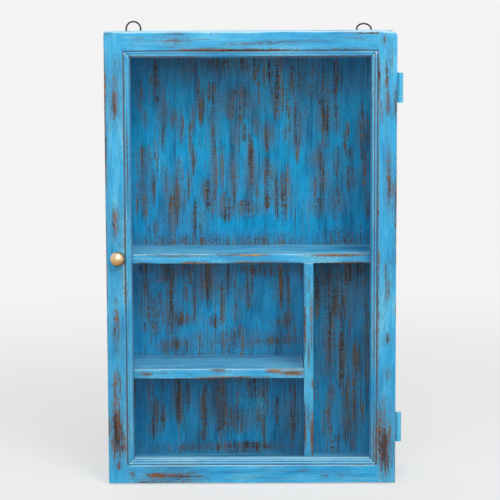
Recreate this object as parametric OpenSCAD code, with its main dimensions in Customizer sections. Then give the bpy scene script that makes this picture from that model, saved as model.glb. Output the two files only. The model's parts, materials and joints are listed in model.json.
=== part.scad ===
// Wall display case with a glazed door, two shelves and a divider, for small collectibles.
// Millimetres. Origin: middle of the case's underside. +Z is up and the door faces -Y.

/* [Case] */
// Width of the case, over both side boards
case_w = 290; // [270:1:400]
// Height of the case, underside to top
case_h = 457; // [400:1:600]
// Depth of the case without the door
case_d = 88; // [70:1:120]
// Thickness of the four case boards
board_t = 9; // [8:0.5:12]
// Thickness of the plywood back panel
back_t = 4; // [3:0.5:6]
// Overlap of the back panel on each case board
back_lap = 4.5; // [3:0.5:5]

/* [Shelves] */
// Thickness of the shelves and of the divider
shelf_t = 9.5; // [8:0.5:12]
// Distance of the shelf fronts behind the case front
shelf_setback = 3; // [2:0.5:10]
// Height of the long shelf's top face
long_shelf_z = 233; // [180:1:300]
// Height of the short shelf's top face
short_shelf_z = 115; // [80:1:150]
// Middle of the divider, to the right of the case's middle
divider_x = 58; // [0:1:80]
// Depth of each shelf's housing joint
housing = 3; // [2:0.5:4]

/* [Door] */
// Thickness of the door frame
door_t = 16; // [14:0.5:20]
// Gap between the door and the case
door_gap = 0.6; // [0.4:0.1:1]
// Height of the door's bottom edge above the case's underside
door_z0 = 1.5; // [1:0.5:4]
// Distance of the door's top edge below the case's top
door_drop = 0.5; // [0.3:0.1:4]
// Width of each stile, moulding included
stile_w = 26; // [24:0.5:40]
// Width of the top rail, moulding included
top_rail_w = 26; // [20:0.5:40]
// Width of the bottom rail, moulding included
bottom_rail_w = 25.5; // [20:0.5:40]
// Width of the moulding that is cut on the frame's inner edge
mould_w = 7; // [7:0.5:8]
// Thickness of the glass
glass_t = 2; // [2:0.5:3]

/* [Hardware] */
// Length of each butt hinge
hinge_l = 30; // [25:1:40]
// Height of the lower hinge's middle
lower_hinge_z = 56; // [40:1:80]
// Height of the upper hinge's middle
upper_hinge_z = 400; // [350:1:420]
// Diameter of the knob's ball
knob_d = 15; // [12:0.5:20]
// Height of the knob's middle
knob_z = 232; // [150:1:300]
// Outer width of each hanging ring
ring_w = 16.8; // [14:0.2:18]
// Diameter of the ring's wire
ring_wire = 1.8; // [1.4:0.1:2.2]
// Distance of the left hanging ring from the case's middle
left_ring_x = 122; // [80:1:125]
// Distance of the right hanging ring from the case's middle
right_ring_x = 118; // [80:1:125]
// How far the right ring leans back from upright, in degrees
right_lean = 42; // [0:1:90]

/* [Hidden] */

$fn = 48;
eps = 1;
paint = "#4caad6";
dark_wire = "#2b2d36";

// Case places
half_w = case_w / 2;
front_y = -case_d / 2;
back_y = case_d / 2;
inner_x = half_w - board_t;
inner_z0 = board_t;
inner_z1 = case_h - board_t;
panel_y = back_y - back_t;
shelf_y = front_y + shelf_setback;
divider_x0 = divider_x - shelf_t / 2;
divider_x1 = divider_x + shelf_t / 2;
long_z0 = long_shelf_z - shelf_t;
short_z0 = short_shelf_z - shelf_t;

// Door places. Depths in the door are measured from its front face.
door_z1 = case_h - door_drop;
door_back_y = front_y - door_gap;
door_y = door_back_y - door_t;
flat_x = half_w - stile_w + mould_w;
sight_x = half_w - stile_w;
sight_z0 = door_z0 + bottom_rail_w;
sight_z1 = door_z1 - top_rail_w;
rabbet_w = 6;
rabbet_y = 7;
pane_play = 0.5;
stop_y0 = rabbet_y + glass_t;
stop_y1 = door_t - 1.5;
tenon_l = 12;
tenon_y0 = 5;
tenon_y1 = 11;
tenon_edge = 3;

// Moulding: a quirk beside the flat, two reeds with grooves, and a slope down to the glass
quirk_w = 0.8;
quirk_y = 1.4;
reed_r = 1.4;
reed_steps = 8;
reed_1_w = 2.1;
reed_1_y = 0.3;
groove_1_w = 0.4;
groove_1_y = 1.3;
reed_2_w = 1.8;
reed_2_y = 0.9;
groove_2_w = 0.3;
groove_2_y = 1.8;
slope_y0 = 1.5;
slope_y1 = 4.5;

// Nails and pins. Each is set below the surface and filled over.
nail_l = 25;
nail_r = 0.8;
nail_head_r = 1.4;
nail_head_h = 0.8;
pin_l = 15;
pin_r = 0.6;
pin_head_r = 1.1;
set_depth = 0.5;

// Butt hinges
hinge_x = half_w + 3.9;
hinge_y = front_y - door_gap / 2;
barrel_r = 3.1;
hinge_pin_r = 1.2;
hinge_play = 0.05;
leaf_t = 0.9;
leaf_x0 = half_w - 8.5;
leaf_x1 = hinge_x - 1.8;
leaf_clear = 0.35;
knuckles = 5;
knuckle_gap = 0.2;
hinge_screw_x = half_w - 4.5;
hinge_screw_spread = 9;
hinge_screw_l = 10;
hinge_screw_r = 1.1;
hinge_screw_head_r = 2.1;
hinge_zs = [lower_hinge_z, upper_hinge_z];

// Knob
knob_x = -half_w + 12.5;
knob_collar_r = 6.4;
knob_collar_h = 1.8;
knob_neck_r = 3.6;
knob_ball_y = 9.3;
knob_screw_r = 2;
knob_screw_head_r = 3.8;
knob_screw_bite = 6;

// Hanging rings on short straps
bar_z = case_h - 2;
strap_w = 9;
strap_t = 1;
roll_r = ring_wire / 2 + 0.08 + strap_t;
bar_y = back_y + roll_r;
ring_r = (ring_w - ring_wire) / 2;
ring_corner = 1.5;
ring_leg = 3.9;
hanger_screw_z = case_h - 6.7;
strap_z0 = hanger_screw_z - 4;
hanger_screw_r = 1.2;
hanger_screw_head_r = 2.4;
hanger_screw_l = 16;

// Magnetic catch under the top board, hidden behind the door's top rail
catch_x = -95;
catch_w = 30;
catch_h = 10;
catch_d = 12;
ear_w = 7;
ear_h = 2.5;
magnet_w = 12;
magnet_h = 4;
magnet_d = 9;
catch_screw_r = 1.1;
catch_screw_l = 8;
catch_screw_head_r = 2;
strike_w = 18;
strike_h = 8;
strike_t = 1;
strike_proud = 0.3;
strike_z = inner_z1 - 5.5;

// One box from two opposite corners
module block(low, high) {
    translate(low) cube(high - low);
}

// A nail or pin: head just under z = 0, shank downwards
module nail(length, r, head_r) {
    translate([0, 0, -nail_head_h]) cylinder(h = nail_head_h, r = head_r);
    translate([0, 0, -length]) cylinder(h = length, r = r);
}

// Places a child at each [position, rotation]
module at(places) {
    for (p = places) translate(p[0]) rotate(p[1]) children();
}

// Nails or pins at their places, sunk by set_depth
module set_nails(places, length, r, head_r) {
    at(places) translate([0, 0, -set_depth]) nail(length, r, head_r);
}

// The holes that those nails leave, open to the surface
module nail_holes(places, length, r, head_r) {
    at(places) {
        translate([0, 0, -set_depth]) nail(length, r, head_r);
        translate([0, 0, -set_depth]) cylinder(h = set_depth + eps, r = head_r);
    }
}

// Rotations that send a nail down, up, right, left and to the front
down = [0, 0, 0];
up = [180, 0, 0];
right = [0, -90, 0];
left = [0, 90, 0];
forward = [-90, 0, 0];

nail_x = half_w - board_t / 2;
nail_ys = [front_y + 12, 0, back_y - 16];
shelf_nail_ys = [front_y + 19, back_y - 22];
case_nail_places = [
    for (sx = [-1, 1], y = nail_ys) each [
        [[sx * nail_x, y, case_h], down],
        [[sx * nail_x, y, 0], up],
    ]
];
long_mid_z = long_shelf_z - shelf_t / 2;
short_mid_z = short_shelf_z - shelf_t / 2;
shelf_nail_places = [
    for (y = shelf_nail_ys) each [
        [[-half_w, y, long_mid_z], right],
        [[half_w, y, long_mid_z], left],
        [[-half_w, y, short_mid_z], right],
        [[divider_x1, y, short_mid_z], left],
        [[divider_x, y, 0], up],
        [[divider_x, y, long_shelf_z], down],
    ]
];
pin_x = inner_x + back_lap / 2;
pin_zs = [60, 170, 290, 400];
pin_xs = [-70, 0, 70];
panel_pin_places = concat(
    [for (sx = [-1, 1], z = pin_zs) [[sx * pin_x, back_y, z], forward]],
    [for (x = pin_xs, z = [inner_z0 - 2.2, long_mid_z, inner_z1 + 2.2]) [[x, back_y, z], forward]],
    [[[-50, back_y, short_mid_z], forward], [[divider_x, back_y, 60], forward],
     [[divider_x, back_y, 170], forward]]
);

module case_nail_holes() {
    nail_holes(case_nail_places, nail_l, nail_r, nail_head_r);
}

module shelf_nail_holes() {
    nail_holes(shelf_nail_places, nail_l, nail_r, nail_head_r);
}

module panel_pin_holes() {
    nail_holes(panel_pin_places, pin_l, pin_r, pin_head_r);
}

// The room for the back panel, cut from the case boards
module panel_rabbet() {
    block([-inner_x - back_lap, panel_y, inner_z0 - back_lap],
          [inner_x + back_lap, back_y + eps, inner_z1 + back_lap]);
}

module long_shelf_room() {
    block([-inner_x - housing, shelf_y, long_z0], [inner_x + housing, panel_y, long_shelf_z]);
}

module short_shelf_room() {
    block([-inner_x - housing, shelf_y, short_z0], [divider_x0 + housing, panel_y, short_shelf_z]);
}

module divider_room() {
    block([divider_x0, shelf_y, inner_z0 - housing], [divider_x1, panel_y, long_z0 + housing]);
}

// A countersunk screw: head face at z = 0, shank downwards
module screw(length, r, head_r) {
    head_h = head_r - r;
    translate([0, 0, -head_h]) cylinder(h = head_h, r1 = r, r2 = head_r);
    translate([0, 0, -length]) cylinder(h = length, r = r);
}

// The same screw with its slot
module slotted_screw(length, r, head_r) {
    slot_w = 0.6;
    slot_d = 0.5;
    difference() {
        screw(length, r, head_r);
        block([-head_r, -slot_w / 2, -slot_d], [head_r, slot_w / 2, eps]);
    }
}

// The side board on the right, or on the left with side = -1
module side_board(side) {
    color(paint)
    difference() {
        block([side > 0 ? inner_x : -half_w, front_y, inner_z0],
              [side > 0 ? half_w : -inner_x, back_y, inner_z1]);
        panel_rabbet();
        long_shelf_room();
        short_shelf_room();
        case_nail_holes();
        shelf_nail_holes();
        panel_pin_holes();
        case_leaf_rooms();
        hinge_screws(1);
    }
}

module left_side() { side_board(-1); }

module right_side() { side_board(1); }

module top_board() {
    color(paint)
    difference() {
        block([-half_w, front_y, inner_z1], [half_w, back_y, case_h]);
        panel_rabbet();
        case_nail_holes();
        panel_pin_holes();
        at(hanger_screw_places) screw(hanger_screw_l, hanger_screw_r, hanger_screw_head_r);
        at(catch_screw_places) screw(catch_screw_l, catch_screw_r, catch_screw_head_r);
    }
}

module bottom_board() {
    color(paint)
    difference() {
        block([-half_w, front_y, 0], [half_w, back_y, inner_z0]);
        panel_rabbet();
        divider_room();
        case_nail_holes();
        shelf_nail_holes();
        panel_pin_holes();
    }
}

module back_panel() {
    color(paint)
    difference() {
        block([-inner_x - back_lap, panel_y, inner_z0 - back_lap],
              [inner_x + back_lap, back_y, inner_z1 + back_lap]);
        panel_pin_holes();
        at(hanger_screw_places) screw(hanger_screw_l, hanger_screw_r, hanger_screw_head_r);
    }
}

module long_shelf() {
    color(paint)
    difference() {
        long_shelf_room();
        divider_room();
        shelf_nail_holes();
        panel_pin_holes();
    }
}

module short_shelf() {
    color(paint)
    difference() {
        short_shelf_room();
        shelf_nail_holes();
        panel_pin_holes();
    }
}

module divider() {
    color(paint)
    difference() {
        divider_room();
        short_shelf_room();
        shelf_nail_holes();
        panel_pin_holes();
    }
}

module case_nails() {
    color("dimgray") set_nails(case_nail_places, nail_l, nail_r, nail_head_r);
}

module shelf_nails() {
    color("dimgray") set_nails(shelf_nail_places, nail_l, nail_r, nail_head_r);
}

module back_panel_pins() {
    color("dimgray") set_nails(panel_pin_places, pin_l, pin_r, pin_head_r);
}

// Hanging hardware
hanger_screw_places = [
    for (x = [-left_ring_x, right_ring_x]) [[x, back_y + strap_t, hanger_screw_z], forward]
];

module hanger_strap(x) {
    bore_r = ring_wire / 2 + 0.08;
    color(dark_wire)
    difference() {
        union() {
            block([x - strap_w / 2, back_y, strap_z0], [x + strap_w / 2, back_y + strap_t, bar_z]);
            translate([x - strap_w / 2, bar_y, bar_z]) rotate([0, 90, 0])
                cylinder(h = strap_w, r = roll_r);
        }
        translate([x - strap_w / 2 - eps, bar_y, bar_z]) rotate([0, 90, 0])
            cylinder(h = strap_w + 2 * eps, r = bore_r);
        at(hanger_screw_places) screw(hanger_screw_l, hanger_screw_r, hanger_screw_head_r);
    }
}

module left_hanger_strap() { hanger_strap(-left_ring_x); }

module right_hanger_strap() { hanger_strap(right_ring_x); }

module hanger_screws() {
    color("silver")
    at(hanger_screw_places)
        slotted_screw(hanger_screw_l, hanger_screw_r, hanger_screw_head_r);
}

// A part of a torus in the XY plane, its tube round
module bend(r, degrees) {
    rotate_extrude(angle = degrees) translate([r, 0]) circle(d = ring_wire, $fn = 32);
}

// The D ring about its bar at the origin, standing up in the XZ plane
module d_ring() {
    foot_x = ring_r - ring_corner;
    rotate([90, 0, 0]) {
        translate([-foot_x, 0, 0]) rotate([0, 90, 0]) cylinder(h = 2 * foot_x, d = ring_wire);
        translate([foot_x, ring_corner, 0]) rotate([0, 0, -90]) bend(ring_corner, 90);
        translate([-foot_x, ring_corner, 0]) rotate([0, 0, 180]) bend(ring_corner, 90);
        for (sx = [-1, 1]) translate([sx * ring_r, ring_corner, 0]) rotate([-90, 0, 0])
            cylinder(h = ring_leg - ring_corner, d = ring_wire);
        translate([0, ring_leg, 0]) bend(ring_r, 180);
    }
}

module hanger_ring(x, lean) {
    color(dark_wire) translate([x, bar_y, bar_z]) rotate([-lean, 0, 0]) d_ring();
}

module left_hanger_ring() { hanger_ring(-left_ring_x, 0); }

module right_hanger_ring() { hanger_ring(right_ring_x, right_lean); }

// Magnetic catch
catch_screw_places = [
    for (sx = [-1, 1])
        [[catch_x + sx * (catch_w - ear_w) / 2, front_y + catch_d / 2, inner_z1 - ear_h], up]
];

module magnet_room() {
    block([catch_x - magnet_w / 2, front_y, inner_z1 - 3 - magnet_h],
          [catch_x + magnet_w / 2, front_y + magnet_d, inner_z1 - 3]);
}

module catch_body() {
    core_w = catch_w - 2 * ear_w;
    color("#6b4a2f")
    difference() {
        union() {
            block([catch_x - catch_w / 2, front_y, inner_z1 - ear_h],
                  [catch_x + catch_w / 2, front_y + catch_d, inner_z1]);
            block([catch_x - core_w / 2, front_y, inner_z1 - catch_h],
                  [catch_x + core_w / 2, front_y + catch_d, inner_z1]);
        }
        magnet_room();
        at(catch_screw_places) screw(catch_screw_l, catch_screw_r, catch_screw_head_r);
    }
}

module catch_magnet() {
    color("dimgray") magnet_room();
}

module catch_screws() {
    color("silver")
    at(catch_screw_places) slotted_screw(catch_screw_l, catch_screw_r, catch_screw_head_r);
}

// Hinges. Knuckles 0, 2 and 4 belong to the case leaf, 1 and 3 to the door leaf.
function knuckle_z(i) = -hinge_l / 2 + i * hinge_l / knuckles;

// Cylinders on the hinge axis at every second knuckle from first
module knuckle_set(first, r, grow) {
    for (i = [first : 2 : knuckles - 1])
        translate([hinge_x, hinge_y, knuckle_z(i) + knuckle_gap / 2 - grow])
            cylinder(h = hinge_l / knuckles - knuckle_gap + 2 * grow, r = r);
}

// A leaf with its knuckles about z = 0. Its plate lies from y0 to y1.
module leaf(first, bore_r, y0, y1) {
    difference() {
        union() {
            block([leaf_x0, y0, -hinge_l / 2], [leaf_x1, y1, hinge_l / 2]);
            knuckle_set(first, barrel_r, 0);
        }
        knuckle_set(1 - first, barrel_r + leaf_clear, knuckle_gap);
        translate([hinge_x, hinge_y, -hinge_l / 2 - eps])
            cylinder(h = hinge_l + 2 * eps, r = bore_r);
    }
}

module case_leaf(z) {
    color(paint)
    difference() {
        translate([0, 0, z]) leaf(0, hinge_pin_r, front_y, front_y + leaf_t);
        hinge_screws(1);
    }
}

module door_leaf(z) {
    color(paint)
    difference() {
        translate([0, 0, z])
            leaf(1, hinge_pin_r + hinge_play, door_back_y - leaf_t, door_back_y);
        hinge_screws(-1);
    }
}

// The mortises for the leaves, in the right side board and in the right stile
module case_leaf_rooms() {
    for (z = hinge_zs) block([leaf_x0, front_y - eps, z - hinge_l / 2],
                             [half_w + eps, front_y + leaf_t, z + hinge_l / 2]);
}

module door_leaf_rooms() {
    for (z = hinge_zs) block([leaf_x0, door_back_y - leaf_t, z - hinge_l / 2],
                             [half_w + eps, door_back_y + eps, z + hinge_l / 2]);
}

// Screw places in the case leaves with way = 1, in the door leaves with way = -1
function hinge_screw_places(way) = [
    for (z = hinge_zs, dz = [-hinge_screw_spread, hinge_screw_spread])
        [[hinge_screw_x, way > 0 ? front_y : door_back_y, z + dz], way > 0 ? [90, 0, 0] : forward]
];

module hinge_screws(way) {
    at(hinge_screw_places(way)) screw(hinge_screw_l, hinge_screw_r, hinge_screw_head_r);
}

module slotted_hinge_screws(way) {
    color(paint)
    at(hinge_screw_places(way))
        slotted_screw(hinge_screw_l, hinge_screw_r, hinge_screw_head_r);
}

module hinge_pin(z) {
    color("silver") translate([hinge_x, hinge_y, z - hinge_l / 2])
        cylinder(h = hinge_l, r = hinge_pin_r);
}

module upper_hinge_case_leaf() { case_leaf(hinge_zs[1]); }

module lower_hinge_case_leaf() { case_leaf(hinge_zs[0]); }

module upper_hinge_door_leaf() { door_leaf(hinge_zs[1]); }

module lower_hinge_door_leaf() { door_leaf(hinge_zs[0]); }

module upper_hinge_pin() { hinge_pin(hinge_zs[1]); }

module lower_hinge_pin() { hinge_pin(hinge_zs[0]); }

module case_hinge_screws() { slotted_hinge_screws(1); }

module door_hinge_screws() { slotted_hinge_screws(-1); }

// Door frame. The profile is [distance from the flat towards the glass, depth].
// A reed is an arc from u over the width w, with its crest at the depth y.
function reed(u, w, y) = [
    for (i = [0 : reed_steps])
        let (a = asin(w / 2 / reed_r) * (2 * i / reed_steps - 1))
        [u + w / 2 + reed_r * sin(a), y + reed_r * (1 - cos(a))]
];

groove_1_u = quirk_w + reed_1_w;
reed_2_u = groove_1_u + groove_1_w;
groove_2_u = reed_2_u + reed_2_w;
slope_u = groove_2_u + groove_2_w;
mould_profile = concat(
    [[0, quirk_y], [quirk_w, quirk_y]],
    reed(quirk_w, reed_1_w, reed_1_y),
    [[groove_1_u, groove_1_y], [reed_2_u, groove_1_y]],
    reed(reed_2_u, reed_2_w, reed_2_y),
    [[groove_2_u, groove_2_y], [slope_u, groove_2_y], [slope_u, slope_y0],
     [mould_w, slope_y1], [mould_w, rabbet_y],
     [mould_w - rabbet_w, rabbet_y], [mould_w - rabbet_w, door_t], [0, door_t]]
);

// The moulding along z, its flat edge at x = 0
module moulding(length) {
    linear_extrude(length) polygon(mould_profile);
}

// A prism through the door over the given [x, z] outline
module through_door(outline) {
    translate([0, door_back_y + eps, 0]) rotate([90, 0, 0])
        linear_extrude(door_t + 2 * eps) polygon(outline);
}

// Tenons of both rails, which also cut the mortises
module tenons() {
    for (span = [[door_z0 + tenon_edge, sight_z0 - mould_w - tenon_edge],
                 [sight_z1 + mould_w + tenon_edge, door_z1 - tenon_edge]])
        block([-flat_x - tenon_l, door_y + tenon_y0, span[0]],
              [flat_x + tenon_l, door_y + tenon_y1, span[1]]);
}

module stile_blank() {
    block([-half_w, door_y, door_z0], [-flat_x, door_back_y, door_z1]);
    intersection() {
        translate([-flat_x, door_y, door_z0]) moulding(door_z1 - door_z0);
        through_door([[-flat_x - eps, sight_z0 - mould_w - eps], [-sight_x, sight_z0],
                      [-sight_x, sight_z1], [-flat_x - eps, sight_z1 + mould_w + eps]]);
    }
}

module door_left_stile() {
    color(paint)
    difference() {
        stile_blank();
        tenons();
        glazing_pin_holes();
        knob_screw_shape();
    }
}

module door_right_stile() {
    color(paint)
    difference() {
        mirror([1, 0, 0]) stile_blank();
        tenons();
        glazing_pin_holes();
        door_leaf_rooms();
        hinge_screws(-1);
    }
}

// The bottom rail's mitred moulding strip
module rail_moulding() {
    intersection() {
        translate([half_w, door_y, 0]) rotate([0, -90, 0]) moulding(case_w);
        through_door([[-flat_x, 0], [flat_x, 0], [sight_x, mould_w], [-sight_x, mould_w]]);
    }
}

module rail(z0, z1) {
    block([-flat_x, door_y, z0], [flat_x, door_back_y, z1]);
    intersection() {
        tenons();
        block([-half_w, door_y, z0], [half_w, door_back_y, z1]);
    }
}

module door_bottom_rail() {
    z1 = sight_z0 - mould_w;
    color(paint)
    difference() {
        union() {
            rail(door_z0, z1);
            translate([0, 0, z1]) rail_moulding();
        }
        glazing_pin_holes();
    }
}

module door_top_rail() {
    z0 = sight_z1 + mould_w;
    color(paint)
    difference() {
        union() {
            rail(z0, door_z1);
            translate([0, 0, z0]) mirror([0, 0, 1]) rail_moulding();
        }
        glazing_pin_holes();
        strike_shape();
        at(strike_screw_places) screw(catch_screw_l, catch_screw_r, catch_screw_head_r);
    }
}

module glass_pane() {
    lap = rabbet_w - pane_play;
    color("lightcyan", 0.35)
    block([-sight_x - lap, door_y + rabbet_y, sight_z0 - lap],
          [sight_x + lap, door_y + rabbet_y + glass_t, sight_z1 + lap]);
}

// Glazing stops: the upright ones run full height and the level ones fit between them
stop_w = rabbet_w - pane_play;
stop_x1 = sight_x + rabbet_w;
stop_x0 = stop_x1 - stop_w;
stop_z0 = sight_z0 - rabbet_w;
stop_z1 = sight_z1 + rabbet_w;

// A stop's section along z: its outer edge at x = 0, its face away from the glass eased
module stop_strip(length) {
    ease = 1.5;
    linear_extrude(length)
        polygon([[0, stop_y0], [stop_w, stop_y0], [stop_w, stop_y1 - ease],
                 [stop_w - ease, stop_y1], [0, stop_y1]]);
}

module side_stop() {
    translate([-stop_x1, door_y, stop_z0]) stop_strip(stop_z1 - stop_z0);
}

module level_stop() {
    translate([stop_x0, door_y, 0]) rotate([0, -90, 0]) stop_strip(2 * stop_x0);
}

module left_glazing_stop() {
    color(paint) difference() { side_stop(); glazing_pin_holes(); }
}

module right_glazing_stop() {
    color(paint) difference() { mirror([1, 0, 0]) side_stop(); glazing_pin_holes(); }
}

module bottom_glazing_stop() {
    color(paint) difference() { translate([0, 0, stop_z0]) level_stop(); glazing_pin_holes(); }
}

module top_glazing_stop() {
    color(paint)
    difference() { translate([0, 0, stop_z1]) mirror([0, 0, 1]) level_stop(); glazing_pin_holes(); }
}

glazing_pin_l = 10;
glazing_pin_r = 0.5;
glazing_pin_y = door_y + 11.5;
glazing_pin_places = concat(
    [for (z = [60, 160, 260, 400]) each [
        [[-stop_x0, glazing_pin_y, z], left], [[stop_x0, glazing_pin_y, z], right]]],
    [for (x = [-80, 0, 80]) each [
        [[x, glazing_pin_y, stop_z0 + stop_w], down], [[x, glazing_pin_y, stop_z1 - stop_w], up]]]
);

module glazing_pin() {
    translate([0, 0, -glazing_pin_l]) cylinder(h = glazing_pin_l, r = glazing_pin_r);
}

module glazing_pin_holes() {
    at(glazing_pin_places) glazing_pin();
}

module glazing_pins() {
    color("dimgray") at(glazing_pin_places) glazing_pin();
}

module knob_screw_shape() {
    translate([knob_x, door_back_y, knob_z]) rotate(forward)
        screw(door_t + knob_screw_bite, knob_screw_r, knob_screw_head_r);
}

module knob() {
    color("#c8a06a")
    difference() {
        translate([knob_x, door_y, knob_z]) rotate([90, 0, 0]) {
            cylinder(h = knob_collar_h, r = knob_collar_r);
            cylinder(h = knob_ball_y, r = knob_neck_r);
            translate([0, 0, knob_ball_y]) sphere(d = knob_d);
        }
        knob_screw_shape();
    }
}

module knob_screw() {
    color("silver")
    translate([knob_x, door_back_y, knob_z]) rotate(forward)
        slotted_screw(door_t + knob_screw_bite, knob_screw_r, knob_screw_head_r);
}

module strike_shape() {
    block([catch_x - strike_w / 2, door_back_y + strike_proud - strike_t, strike_z - strike_h / 2],
          [catch_x + strike_w / 2, door_back_y + strike_proud, strike_z + strike_h / 2]);
}

strike_screw_places = [[[catch_x, door_back_y + strike_proud, strike_z], forward]];

module strike_plate() {
    color("silver")
    difference() {
        strike_shape();
        at(strike_screw_places) screw(catch_screw_l, catch_screw_r, catch_screw_head_r);
    }
}

module strike_screw() {
    color("silver")
    at(strike_screw_places) slotted_screw(catch_screw_l, catch_screw_r, catch_screw_head_r);
}

left_side();
right_side();
top_board();
bottom_board();
back_panel();
long_shelf();
short_shelf();
divider();
case_nails();
shelf_nails();
back_panel_pins();
left_hanger_strap();
right_hanger_strap();
hanger_screws();
left_hanger_ring();
right_hanger_ring();
catch_body();
catch_magnet();
catch_screws();
upper_hinge_case_leaf();
lower_hinge_case_leaf();
upper_hinge_pin();
lower_hinge_pin();
case_hinge_screws();
door_left_stile();
door_right_stile();
door_top_rail();
door_bottom_rail();
glass_pane();
left_glazing_stop();
right_glazing_stop();
top_glazing_stop();
bottom_glazing_stop();
glazing_pins();
knob();
knob_screw();
upper_hinge_door_leaf();
lower_hinge_door_leaf();
door_hinge_screws();
strike_plate();
strike_screw();
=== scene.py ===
"""Looks of the thimble display case: worn blue paint on wood, brass, dark wire, glass and light.

Everything is in metres in the part's own frame, except where a comment says mm. The door faces -Y
and Z is up. The boards, the door's frame and the knob are rebuilt here inside the solids that they
replace, the wooden ones with worn arrises.
"""

import json
import math
from functools import cached_property

import bmesh
import bpy
import numpy as np
from mathutils import Matrix, Vector, noise


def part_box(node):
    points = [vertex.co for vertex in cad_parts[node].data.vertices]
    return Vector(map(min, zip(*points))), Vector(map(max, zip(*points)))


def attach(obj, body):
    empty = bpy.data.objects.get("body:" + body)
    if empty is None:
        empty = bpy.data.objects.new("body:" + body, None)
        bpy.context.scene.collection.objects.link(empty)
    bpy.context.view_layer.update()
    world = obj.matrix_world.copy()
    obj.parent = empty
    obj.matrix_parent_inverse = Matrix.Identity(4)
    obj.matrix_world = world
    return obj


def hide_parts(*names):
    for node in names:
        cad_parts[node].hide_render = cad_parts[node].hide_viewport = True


MM = 0.001

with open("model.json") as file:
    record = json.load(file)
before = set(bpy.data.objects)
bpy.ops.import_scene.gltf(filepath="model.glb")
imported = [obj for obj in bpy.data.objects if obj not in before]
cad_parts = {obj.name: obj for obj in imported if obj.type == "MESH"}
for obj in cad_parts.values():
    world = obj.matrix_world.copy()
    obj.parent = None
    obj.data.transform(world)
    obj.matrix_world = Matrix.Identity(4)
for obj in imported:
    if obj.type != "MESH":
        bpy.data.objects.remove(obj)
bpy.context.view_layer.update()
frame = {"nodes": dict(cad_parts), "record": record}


def placed(name, data):
    """A new object with this data, in the scene."""
    made = bpy.data.objects.new(name, data)
    bpy.context.scene.collection.objects.link(made)
    return made


# Camera, fitted to the photograph's corners and shelf lines

CAMERA_PLACE = (0.0048, -1.9197, 0.4641)
CAMERA_YAW = math.radians(-0.184)
CAMERA_TILT = math.radians(6.889)
CAMERA_ROLL = math.radians(-0.215)
CAMERA_CLIP = (0.05, 50)
SENSOR_MM = 36.0
FOCAL_PIXELS = 1875.66
PICTURE_PIXELS = 500


def add_camera():
    """The photograph's view, level but for a small roll, looking a little down."""
    ahead = Vector((math.sin(CAMERA_YAW) * math.cos(CAMERA_TILT),
                    math.cos(CAMERA_YAW) * math.cos(CAMERA_TILT),
                    -math.sin(CAMERA_TILT)))
    right = Vector((math.cos(CAMERA_YAW), -math.sin(CAMERA_YAW), 0))
    up = right.cross(ahead)
    side = right * math.cos(CAMERA_ROLL) + up * math.sin(CAMERA_ROLL)
    top = up * math.cos(CAMERA_ROLL) - right * math.sin(CAMERA_ROLL)
    data = bpy.data.cameras.new("camera")
    data.sensor_width = SENSOR_MM
    data.lens = FOCAL_PIXELS / PICTURE_PIXELS * SENSOR_MM
    data.clip_start, data.clip_end = CAMERA_CLIP
    camera = placed("camera", data)
    turn = Matrix((side, top, -ahead)).transposed().to_4x4()
    camera.matrix_world = Matrix.Translation(CAMERA_PLACE) @ turn
    bpy.context.scene.camera = camera


add_camera()


# Colours, written as they look on a screen from 0 to 255

def srgb(r, g, b):
    """The same colour as linear values with alpha."""
    def linear(c):
        c /= 255
        return c / 12.92 if c <= 0.04045 else ((c + 0.055) / 1.055) ** 2.4
    return (linear(r), linear(g), linear(b), 1.0)


# Paint is deep, middle, pale and worn thin. Wood is dark, middle and bright.
FRAME_PAINT = (srgb(10, 122, 176), srgb(52, 162, 210), srgb(108, 200, 234), srgb(60, 102, 118))
# The shelves' paint is a slightly paler copy of the frame's, painted light
SHELF_PAINT_LIT = (srgb(8, 122, 180), srgb(48, 164, 216), srgb(118, 204, 240), srgb(56, 106, 126))
# The back panel's paint is a deeper, more saturated copy of the frame's, painted shade for the inside
# of the case
PANEL_PAINT_SHADED = (srgb(0, 98, 138), srgb(0, 158, 212), srgb(62, 194, 234), srgb(22, 84, 108))
HINGE_PAINT = (srgb(56, 162, 208), srgb(84, 188, 226), srgb(124, 210, 238), srgb(60, 102, 118))
FRAME_WOOD = (srgb(48, 36, 34), srgb(106, 70, 52), srgb(182, 120, 76))
SHELF_WOOD = (srgb(80, 56, 44), srgb(140, 100, 70), srgb(206, 160, 108))
PANEL_WOOD = (srgb(38, 34, 33), srgb(104, 82, 60), srgb(168, 124, 72))

# Near white of the painted highlight on arrises that face up
PAINTED_HIGHLIGHT = srgb(178, 220, 238)
# Brown of stain, and on the back panel also of painted shade
STAIN_AND_SHADE = srgb(100, 82, 62)
# Brown of the glaze in the grooves, on the top rail's moulding also painted shade
GLAZE_AND_SHADE = srgb(108, 70, 58)
# Brass colours: pale for the knob's painted highlight, warm for its painted shade, brown for tarnish
BRASS_PAINTED_HIGHLIGHT = srgb(236, 204, 164)
BRASS_PAINTED_SHADE = srgb(204, 142, 78)
BRASS_BROWN = srgb(134, 88, 50)
GLASS_DUST = srgb(205, 222, 235)
FLOOR = srgb(236, 236, 234)

# These two are shares of red, green and blue light, with alpha
GLASS_CLEAR = (0.985, 0.995, 0.99, 1.0)
WHITE = (1.0, 1.0, 1.0, 1.0)


# Shader nodes

# A Mix node holds the sockets of every data type, and these are its colour sockets
MIX_INPUTS = (0, 6, 7)
MIX_OUTPUT = 2


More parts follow.
